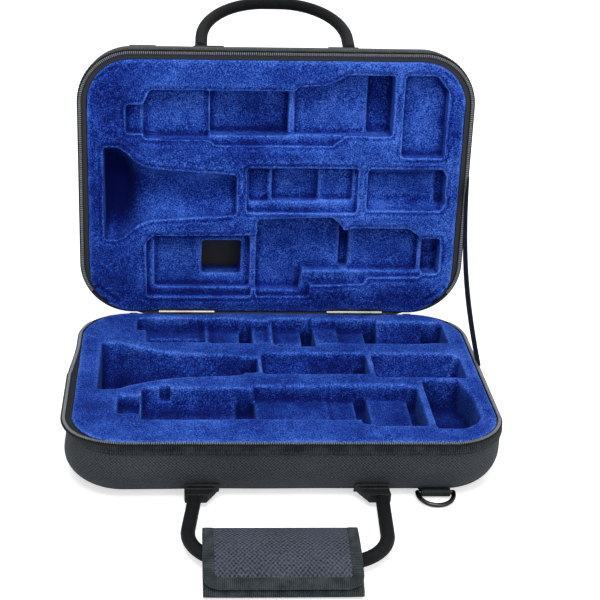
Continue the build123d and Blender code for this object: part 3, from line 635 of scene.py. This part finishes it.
def moulded(name, colour, rough, coat=0.0, metallic=0.0, grain=400.0, lift=0.00005):
    """Plain finish with a fine uneven surface: moulded plastic, thread or plated metal."""
    made, tree = new_material(name)
    place = add_node(tree, "ShaderNodeTexCoord")
    fine = add_node(tree, "ShaderNodeTexNoise", {"Vector": place.outputs["Object"],
                                                 "Scale": grain, "Detail": 3.0})
    dull = add_node(tree, "ShaderNodeMapRange", {"Value": fine.outputs["Fac"],
                                                 "To Min": rough - 0.08,
                                                 "To Max": rough + 0.1})
    low = [c * 0.75 for c in srgb(colour)[:3]] + [1.0]
    high = [min(1.0, c * 1.2) for c in srgb(colour)[:3]] + [1.0]
    shade = two_tone(tree, fine.outputs["Fac"], 0.3, low, 0.7, high)
    raised = add_node(tree, "ShaderNodeBump", {"Height": fine.outputs["Fac"],
                                               "Strength": 0.3, "Distance": lift})
    skin = add_node(tree, "ShaderNodeBsdfPrincipled",
                    {"Base Color": shade.outputs["Color"], "Metallic": metallic,
                     "Roughness": dull.outputs["Result"], "Coat Weight": coat,
                     "Normal": raised.outputs["Normal"]})
    add_node(tree, "ShaderNodeOutputMaterial", {"Surface": skin.outputs["BSDF"]})
    return made


tape_cloth = ribbed("ribbed nylon zip tape", "#101316", "#363D41", 0.0017, "X")
coil_nylon = moulded("nylon zip coil", "#74797D", 0.4)
thread = moulded("bonded nylon thread", "#22262A", 0.6)
gunmetal = moulded("black-nickel plated zinc", "#3A3C3E", 0.24, metallic=1.0, grain=90.0)


def lay_round(obj, start, lean=None):
    """Carries x to the walk round the outline and y to outside it; z stays as it is."""
    for vertex in obj.data.vertices:
        out = vertex.co.y
        if lean:
            out += FLARE * flare(start + vertex.co.x, lean[0]) * lean[1]
        flat = outline(start + vertex.co.x, out)
        vertex.co = Vector((flat.x, flat.y, vertex.co.z))


def flare(distance, body):
    """Share of the flare at a place on the walk: it leaves the left slider its way."""
    if body == "lid":
        return 0.0
    middle = OUTLINE_LENGTH - CORNER_X - QUARTER - CORNER_Y
    reach = distance % OUTLINE_LENGTH - middle
    if reach < 0:
        return ease(clamp((CORNER_Y + QUARTER * 0.9 + reach) / FADE_FRONT))
    return ease(clamp((FLARE_BACK - reach) / FADE_BACK))


def make_tape(name, height, body):
    top = height - TAPE_TOP
    start = BACK_X
    run = OUTLINE_LENGTH - 2 * BACK_X
    section = ((TAPE_OUT, -TAPE_DROP), (TAPE_OUT + 0.0001, -TAPE_DROP * 0.5),
               (TAPE_OUT, -0.0006), (TAPE_OUT - 0.0003, -0.0001), (TAPE_OUT - 0.0008, 0),
               (-RIM_LEG * 0.5, 0.0001), (-RIM_LEG, 0), (-RIM_LEG, -TAPE_T),
               (-RIM_LEG * 0.5, -TAPE_T), (TAPE_IN, -TAPE_T), (TAPE_IN, -TAPE_DROP * 0.5),
               (TAPE_IN, -TAPE_DROP))
    lengths = [0.0]
    for a, b in zip(section, section[1:] + section[:1]):
        lengths.append(lengths[-1] + hypot(b[0] - a[0], b[1] - a[1]))

    def place(u, v):
        distance = start + u * run
        on_rim = clamp((min(distance, OUTLINE_LENGTH - distance) - RIM_START) / RIM_FADE)
        index = round(v * len(section)) % len(section)
        out, z = section[index]
        if out < TAPE_IN:
            out = TAPE_IN + (out - TAPE_IN) * max(on_rim, 0.02)
        if index < 6 or index > 8:
            out += FLARE * flare(distance, body) * (1 + z / TAPE_DROP)
        flat = outline(distance, out)
        return Vector((flat.x, flat.y, top + z))

    tape = bent_grid(name, 420, len(section), place, (run, lengths[-1]))
    # Painted shadow: the part of the tape on the rim's top is marked to be drawn darker.
    shadow = tape.data.attributes.new("shadow", "FLOAT", "POINT")
    shadow.data.foreach_set("value", [
        clamp((vertex.co.z - top + TAPE_T) / 0.0006)
        for vertex in tape.data.vertices])
    close_ends(tape)
    smooth(tape, 50)
    dress(tape, tape_cloth)
    return tape


def arrayed(obj, count, pitch):
    apply_modifier(obj, "ARRAY", count=count, use_relative_offset=False,
                   use_constant_offset=True, constant_offset_displace=(pitch, 0, 0))


def make_teeth(name, height, body):
    """One tooth is a rounded bar across the tape's edge; the row stands on the rim."""
    bpy.ops.object.select_all(action="DESELECT")
    bpy.ops.mesh.primitive_cube_add(size=1, location=(0, 0, 0))
    teeth = bpy.context.active_object
    teeth.name = name
    teeth.data.name = name
    teeth.data.transform(Matrix.Diagonal((0.0010, 0.0024, 0.0013, 1)))
    apply_modifier(teeth, "BEVEL", width=0.00035, segments=2)
    teeth.data.transform(Matrix.Translation((0, -0.0014, height - 0.00080)))
    run = OUTLINE_LENGTH - 2 * RIM_START
    count = int(run / TOOTH_PITCH)
    arrayed(teeth, count, TOOTH_PITCH)
    lay_round(teeth, RIM_START + TOOTH_PITCH / 2, (body, 0.9))
    smooth(teeth)
    dress(teeth, coil_nylon)
    return teeth


def make_stitches(name, height, rows, start, run, body):
    """Lockstitches: short rounded threads in rows round the tape."""
    bpy.ops.object.select_all(action="DESELECT")
    bpy.ops.mesh.primitive_cube_add(size=1)
    stitches = bpy.context.active_object
    stitches.name = name
    stitches.data.name = name
    stitches.data.transform(Matrix.Diagonal((0.0024, 0.0005, 0.0006, 1)))
    apply_modifier(stitches, "BEVEL", width=0.00018, segments=2)
    arrayed(stitches, int(run / STITCH_PITCH), STITCH_PITCH)
    stitches.data.transform(Matrix.Translation((0, TAPE_OUT + 0.0001,
                                                height - TAPE_TOP - rows[0])))
    if len(rows) > 1:
        apply_modifier(stitches, "ARRAY", count=len(rows), use_relative_offset=False,
                       use_constant_offset=True,
                       constant_offset_displace=(0, 0, rows[0] - rows[1]))
    lay_round(stitches, start, (body, 1 - rows[0] / TAPE_DROP))
    smooth(stitches)
    dress(stitches, thread)
    return stitches


for body, height in (("base", BASE_H), ("lid", LID_H)):
    tape = make_tape(f"{body}-zip-tape", height, body)
    teeth = make_teeth(f"{body}-zip-teeth", height, body)
    stitches = make_stitches(f"{body}-zip-stitching", height, (0.0062,), BACK_X + 0.002,
                             OUTLINE_LENGTH - 2 * BACK_X - 0.006, body)
    for piece in (tape, teeth, stitches):
        if body == "lid":
            carry_to_lid(piece)
    place_on(tape, body, f"{body}_zip_tape")
    place_on(teeth, body, f"{body}_zip_coil")
    place_on(stitches, body)

for word in ("left", "right"):
    dress(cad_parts[f"zip_slider_{word}"], gunmetal)
    dress(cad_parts[f"zip_pull_{word}"], gunmetal)
dress(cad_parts["zip_end_stops"], gunmetal)


# Moulded tubs: black thermoformed sheet between the skin and the foam. They show only at
# the bottom of the square well.
tub_plastic = moulded("black thermoformed ABS", "#0B0D16", 0.6, grain=250.0)
for body in ("base", "lid"):
    dress(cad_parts[f"{body}_shell"], tub_plastic)


# Butt hinges: pressed nickel-plated steel leaves round a steel pin, riveted through the
# tubs' back walls. The rolled knuckles are all that shows.
nickel = moulded("nickel-plated steel", "#86847E", 0.34, metallic=1.0, grain=60.0)
for word in ("left", "right"):
    for node in (f"hinge_leaf_base_{word}", f"hinge_leaf_lid_{word}", f"hinge_pin_{word}"):
        dress(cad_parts[node], nickel)
for body in ("base", "lid"):
    dress(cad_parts[f"hinge_rivets_{body}"], nickel)


# Spine: the same nylon across the hinge line, slack enough to fold when the case opens.
# It joins both covers and is drawn in one fixed shape, as the case stands open.
def lid_point(reach_y, height):
    """A tub-frame (y, height) of the lid on the open lid."""
    spot = LID_TURN @ Vector((0, reach_y, height))
    return spot.y, spot.z


SPINE_HALF = 0.1115
SPINE_T = 0.0008
spine_line = [(0.1190, 0.0360), (0.1190, 0.0425), (0.1190, 0.0472), (0.1200, 0.0498),
              (0.1225, 0.0513), (0.1262, 0.0514), (0.1310, 0.0512), (0.1366, 0.0510)]


def spine_place(u, v):
    run = v * (len(spine_line) - 1)
    low = min(int(run), len(spine_line) - 2)
    part = run - low
    a, b = spine_line[low], spine_line[low + 1]
    spread = clamp((v - 0.38) / 0.16)
    x = (u - 0.5) * 2 * (SPINE_HALF + 0.0105 * spread)
    ripple = 0.00015 * sin(x * 160.0) * sin(pi * v)
    return Vector((x, a[0] + (b[0] - a[0]) * part + ripple, a[1] + (b[1] - a[1]) * part))


spine = bent_grid("spine-fabric", 70, 28, spine_place, (2 * SPINE_HALF, 0.036))
apply_modifier(spine, "SMOOTH", factor=0.5, iterations=4)
apply_modifier(spine, "SOLIDIFY", thickness=SPINE_T, offset=0.0)
smooth(spine)
dress(spine, ballistic_nylon)
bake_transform(spine)
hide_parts("spine_fabric")


# Stay ribbon: flat black polyester ribbon on the right, stitched under the zip tape of
# both halves. It stops the lid just past upright and hangs with a little slack.
STAY_X = 0.1698
STAY_W = 0.012
STAY_T = 0.0010
STAY_BASE = Vector((STAY_X, 0.01365, 0.0502))
stay_y, stay_z = lid_point(0.11865 - 0.127, LID_H - 0.0018)
STAY_LID = Vector((STAY_X, stay_y, stay_z))
STAY_SAG = 0.008
STAY_LEAN = 0.0045          # the slack ribbon's middle hangs in towards the case
STAY_TWIST = radians(14)
STAY_CURL = 0.3
stay_ribbon = ribbed("black polyester ribbon", "#06080A", "#191D21", 0.0016, "Y")


def stay_place(u, v):
    along = (STAY_LID - STAY_BASE).normalized()
    aside = Vector((0, -along.z, along.y))
    sag = -STAY_SAG * 4 * v * (1 - v)
    twist = STAY_TWIST * sin(pi * v)
    across = (u - 0.5) * STAY_W
    inward = STAY_LEAN * sin(pi * v) - STAY_CURL * across * sin(twist)
    spot = STAY_BASE.lerp(STAY_LID, v) + aside * (sag + across * cos(twist))
    return spot - Vector((inward, 0, 0))


stay = bent_grid("stay-ribbon", 8, 60, stay_place, (STAY_W, 0.166))
apply_modifier(stay, "SOLIDIFY", thickness=STAY_T, offset=0.0)
smooth(stay, 50)
dress(stay, stay_ribbon)
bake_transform(stay)
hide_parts("stay_strap")


# Carrying loops: nylon webbing rolled round a cord and stitched along the inside, held
# in folded webbing tabs that are sewn into the edge of each half.
TUBE_R = 0.0052
TUBE_SKIN = 0.00012         # the tube stays this far inside its solid
TUBE_SEAM = 0.0005
LOOP_REACH = 0.084
LOOP_FOOT = 0.072
LOOP_LEFT = 0.082
LOOP_RIGHT = 0.067
LOOP_BEND = 0.040
LID_LOOP_FOOT = 0.065
LID_LOOP_SHOULDER = 0.063
LID_LOOP_REACH = 0.070
LID_LOOP_BEND = 0.058
LID_LOOP_LEAN = radians(70)
LID_PIVOT_ANGLE = radians(50)
LID_PIVOT_STANDOFF = 0.0074
BAR_Z = 0.0108
webbing = ribbed("black nylon webbing", "#05070A", "#12171A", 0.0012, "X", rough=0.6,
                 sheen=0.0)


def rounded_path(corners, radius, count):
    """Even points, each with its direction, on a line with rounded corners."""
    runs = []
    here = corners[0]
    for before, corner, after in zip(corners, corners[1:], corners[2:]):
        way_in = (corner - before).normalized()
        way_out = (after - corner).normalized()
        turn = acos(max(-1.0, min(1.0, way_in.dot(way_out))))
        sign = 1 if way_in.x * way_out.y - way_in.y * way_out.x > 0 else -1
        start = corner - way_in * radius * tan(turn / 2)
        runs.append(((start - here).length, here, way_in, 0))
        runs.append((radius * turn, start, way_in, sign))
        here = corner + way_out * radius * tan(turn / 2)
    runs.append(((corners[-1] - here).length, here, way_out, 0))
    total = sum(run[0] for run in runs)
    points = []
    for i in range(count + 1):
        left = total * i / count
        for length, start, way, sign in runs:
            if left <= length + 0.000001:
                break
            left -= length
        if sign:
            angle = sign * left / radius
            along = Matrix.Rotation(angle, 2) @ way
            centre = start + Vector((-way.y, way.x)) * sign * radius
            points.append((centre - Vector((-along.y, along.x)) * sign * radius, along))
        else:
            points.append((start + way * left, way))
    return points, total


def make_loop(name, foot, left_x, right_x, reach, bend, place_matrix):
    """A round loop with a seam along its inside and a rounded end at each foot."""
    steps, around, caps = 220, 28, 8
    rows = steps + 2 * caps
    corners = [Vector(c) for c in ((-foot, 0), (-left_x, -reach), (right_x, -reach),
                                   (foot, 0))]
    points, total = rounded_path(corners, bend, steps)

    def place(u, v):
        row = round(u * rows) - caps
        spot, along = points[min(steps, max(0, row))]
        past = (row - min(steps, max(0, row))) / caps * pi / 2
        side = Vector((-along.y, along.x))
        angle = 2 * pi * v
        seam = TUBE_SEAM * max(0.0, cos(angle)) ** 6
        radius = (TUBE_R - TUBE_SKIN + seam) * max(0.03, cos(past))
        flat = spot + along * (TUBE_R - TUBE_SKIN) * sin(past) + side * radius * cos(angle)
        return Vector((flat.x, flat.y, radius * sin(angle)))

    loop = bent_grid(name, rows, around, place, (total, 2 * pi * TUBE_R))
    close_ends(loop)
    loop.data.transform(place_matrix)
    smooth(loop, 60)
    dress(loop, webbing)
    return loop


PIVOT = Vector((0, -0.1315, 0.0085))
LOOP_RISE = asin((BAR_Z - PIVOT.z) / LOOP_REACH)
base_loop_place = Matrix.Translation(PIVOT) @ Matrix.Rotation(-LOOP_RISE, 4, "X")
base_loop = make_loop("base-carrying-loop", LOOP_FOOT, LOOP_LEFT, LOOP_RIGHT, LOOP_REACH,
                      LOOP_BEND, base_loop_place)
place_on(base_loop, "base_loop", "base_loop")

lid_pivot_reach = EDGE_R + LID_PIVOT_STANDOFF
lid_pivot_y = -(CORNER_Y + OUTLINE_R) + EDGE_R - lid_pivot_reach * cos(LID_PIVOT_ANGLE)
lid_pivot_z = EDGE_R - lid_pivot_reach * sin(LID_PIVOT_ANGLE)
pivot_y, pivot_z = lid_point(lid_pivot_y, lid_pivot_z)
lid_loop_place = (Matrix.Translation((0, pivot_y, pivot_z))
                  @ Matrix.Rotation(-pi / 2 - LID_LOOP_LEAN, 4, "X"))
lid_loop = make_loop("lid-carrying-loop", LID_LOOP_FOOT, LID_LOOP_SHOULDER,
                     LID_LOOP_SHOULDER, LID_LOOP_REACH, LID_LOOP_BEND, lid_loop_place)
place_on(lid_loop, "lid_loop", "lid_loop")


def soften(name, node, voxel, relax, material):
    """A small sewn piece from its CAD solid, remeshed so that its folds are rounded."""
    piece = copy_of(node, name)
    merge_close(piece, CAD_MERGE)
    apply_modifier(piece, "REMESH", mode="VOXEL", voxel_size=voxel)
    apply_modifier(piece, "SMOOTH", factor=0.5, iterations=relax)
    smooth(piece)
    dress(piece, material)
    return piece


def webbing_by_place(name, dark, light, pitch):
    """Webbing for small folded tabs, its ribs on Object coordinates along X."""
    made, tree = new_material(name)
    place = add_node(tree, "ShaderNodeTexCoord")
    ribs = add_node(tree, "ShaderNodeTexWave", {"Vector": place.outputs["Object"],
                                                "Scale": pi / 10 / pitch,
                                                "Distortion": 0.4},
                    bands_direction="X")
    wear_and_crease_shade = add_node(tree, "ShaderNodeTexNoise", {"Vector": place.outputs["Object"],
                                                 "Scale": 300.0, "Detail": 3.0})
    tone = add_node(tree, "ShaderNodeMath", {0: ribs.outputs["Fac"], 1: 0.3,
                                             2: wear_and_crease_shade.outputs["Fac"]},
                    operation="MULTIPLY_ADD")
    shade = two_tone(tree, tone.outputs["Value"], 0.4, srgb(dark), 1.0, srgb(light))
    raised = add_node(tree, "ShaderNodeBump", {"Height": ribs.outputs["Fac"],
                                               "Strength": 0.7, "Distance": 0.0004})
    skin = add_node(tree, "ShaderNodeBsdfPrincipled",
                    {"Base Color": shade.outputs["Color"], "Roughness": 0.6,
                     "Specular IOR Level": 0.3, "Normal": raised.outputs["Normal"]})
    add_node(tree, "ShaderNodeOutputMaterial", {"Surface": skin.outputs["BSDF"]})
    return made


tab_webbing = webbing_by_place("black tab webbing", "#07090B", "#1D2224", 0.0016)
for body in ("base", "lid"):
    for word in ("left", "right"):
        node = f"{body}_loop_tab_{word}"
        tab = soften(f"{body}-loop-tab-{word}", node, 0.0007, 3, tab_webbing)
        place_on(tab, body, node)


# Grip: a padded nylon sleeve round the base loop's bar, closed by a flap that folds over
# it and holds on a strip of hook tape. The flap is edged with ribbed binding.
grip_weave = woven("open-weave nylon", "#0E1118", "#565D6B", 0.0016, 0.0006, rough=0.6)
binding_tape = ribbed("ribbed binding tape", "#181C1F", "#454D50", 0.0014, "X")
fleece = moulded("hook and loop tape", "#0D0E10", 0.85, grain=900.0, lift=0.0004)
GRIP_W = 0.112
GRIP_L = 0.060
GRIP_T = 0.015
GRIP_LIP = 0.005
GRIP_ARC = ((GRIP_L / 2) ** 2 + ((GRIP_T - GRIP_LIP) / 2) ** 2) / (GRIP_T - GRIP_LIP)
BAR_Y = PIVOT.y - LOOP_REACH * cos(LOOP_RISE)
GRIP_SHIFT = -0.011
GRIP_TILT = radians(15)
GRIP_PLACE = (Matrix.Translation((GRIP_SHIFT, BAR_Y, BAR_Z))
              @ Matrix.Rotation(GRIP_TILT, 4, "X"))


def grip_front(y, lift):
    """Height of the grip's bowed front at y, lift above it."""
    return GRIP_T / 2 - GRIP_ARC + sqrt((GRIP_ARC + lift) ** 2 - y * y)


def sleeve_place(u, v):
    angle = 2 * pi * v
    half_l = GRIP_L / 2 - 0.0004
    y = half_l * cos(angle)
    edge = GRIP_LIP / 2 - 0.0002
    thick = grip_front(abs(y) * 0.999, 0) - GRIP_LIP / 2
    z = (thick * abs(sin(angle)) ** 0.35 + edge * min(1.0, abs(sin(angle)) * 3.0))
    z = min(z, grip_front(y, -0.0001))
    x = (u - 0.5) * (GRIP_W - 0.0006)
    pull = 1 - 0.012 * (2 * u - 1) ** 6
    return Vector((x, y * pull, z * pull if sin(angle) >= 0 else -z * pull))


sleeve = bent_grid("grip-sleeve", 90, 96, sleeve_place, (GRIP_W, 0.130))
close_ends(sleeve)
sleeve.data.transform(GRIP_PLACE)
smooth(sleeve, 50)
dress(sleeve, binding_tape)
place_on(sleeve, "base_loop", "grip_sleeve")
dress(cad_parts["grip_loop_patch"], fleece)

FLAP_LOW = 0.0019
FLAP_FRONT = -GRIP_L / 2 + 0.002
FLAP_BACK = GRIP_L / 2 - 0.003
FLAP_T = 0.0012
FLAP_CORNER = 0.010


def flap_edge(y):
    """Half width of the flap at y, its two front corners rounded."""
    half = GRIP_W / 2 - 0.0002
    into = FLAP_FRONT + FLAP_CORNER - y
    if into <= 0:
        return half
    return half - FLAP_CORNER + sqrt(max(0.0, FLAP_CORNER ** 2 - into ** 2))


def flap_place(u, v):
    y = FLAP_FRONT + (FLAP_BACK - FLAP_FRONT) * (1 - (1 - v) ** 1.4)
    x = (2 * u - 1) * flap_edge(y)
    puff = 0.0003 * sin(pi * u) * sin(pi * v)
    return Vector((x, y, grip_front(y, FLAP_LOW + FLAP_T + puff)))


flap = bent_grid("grip-flap", 80, 40, flap_place, (GRIP_W, 0.056))
apply_modifier(flap, "SOLIDIFY", thickness=FLAP_T, offset=-1.0)
flap.data.transform(GRIP_PLACE)
smooth(flap, 50)
dress(flap, grip_weave)
place_on(flap, "grip_flap", "grip_flap")

BINDING_W = 0.008
BINDING_T = 0.0005
BINDING_LOW = FLAP_LOW + FLAP_T + 0.0001


def binding_line(run, inset):
    """(x, y) on the flap's edge: down the left side, along the front, up the right."""
    side = FLAP_BACK - (FLAP_FRONT + FLAP_CORNER)
    front = GRIP_W - 2 * FLAP_CORNER
    bend = FLAP_CORNER * pi / 2
    half = GRIP_W / 2 - FLAP_CORNER
    radius = FLAP_CORNER - inset
    low = FLAP_FRONT + FLAP_CORNER
    if run <= side:
        return -half - radius, FLAP_BACK - run
    run -= side
    if run <= bend:
        angle = pi + run / FLAP_CORNER
        return -half + radius * cos(angle), low + radius * sin(angle)
    run -= bend
    if run <= front:
        return -half + run, low - radius
    run -= front
    if run <= bend:
        angle = 1.5 * pi + run / FLAP_CORNER
        return half + radius * cos(angle), low + radius * sin(angle)
    return half + radius, low + run - bend


BINDING_RUN = 2 * (FLAP_BACK - FLAP_FRONT - FLAP_CORNER) + GRIP_W - 2 * FLAP_CORNER \
    + pi * FLAP_CORNER


def binding_place(u, v):
    inset = 0.0003 + v * BINDING_W
    x, y = binding_line(u * BINDING_RUN, inset)
    edge = min(v, 1 - v)
    lift = BINDING_LOW + 0.0007 * min(1.0, edge * 8) ** 0.5
    return Vector((x, y, grip_front(y, lift)))


binding = bent_grid("flap-binding", 260, 12, binding_place, (BINDING_RUN, BINDING_W))
apply_modifier(binding, "SOLIDIFY", thickness=BINDING_T, offset=-1.0)
binding.data.transform(GRIP_PLACE)
smooth(binding, 50)
dress(binding, binding_tape)
place_on(binding, "grip_flap", "grip_flap_binding")

# Sewn fold: a strip of binding that joins the flap's back edge to the sleeve, drawn in
# one fixed shape.
FOLD_T = 0.0005
fold_line = [(0.0280, 0.0026), (0.0287, 0.0032), (0.0289, 0.0041), (0.0285, 0.0051),
             (0.0276, 0.0058), (0.0266, 0.0060)]


def fold_place(u, v):
    run = v * (len(fold_line) - 1)
    low = min(int(run), len(fold_line) - 2)
    a, b = (Vector(spot) for spot in fold_line[low:low + 2])
    spot = a.lerp(b, run - low)
    return Vector(((u - 0.5) * (GRIP_W - 0.0008), spot.x, spot.y))


fold = bent_grid("flap-fold", 60, 15, fold_place, (GRIP_W, 0.005))
apply_modifier(fold, "SOLIDIFY", thickness=FOLD_T, offset=0.0)
fold.data.transform(GRIP_PLACE)
smooth(fold, 50)
dress(fold, binding_tape)
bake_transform(fold)

hooks = copy_of("grip_hook_patch", "grip-hook-patch")
dress(hooks, fleece)
place_on(hooks, "grip_flap", "grip_hook_patch")


# D-rings: bent and welded wire, plated black, in short webbing tabs sewn under the edge.
for body in ("base", "lid"):
    dress(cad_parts[f"{body}_d_ring"], gunmetal)
    ring_tab = soften(f"{body}-ring-tab", f"{body}_d_ring_tab", 0.0004, 3, tab_webbing)
    place_on(ring_tab, body, f"{body}_d_ring_tab")
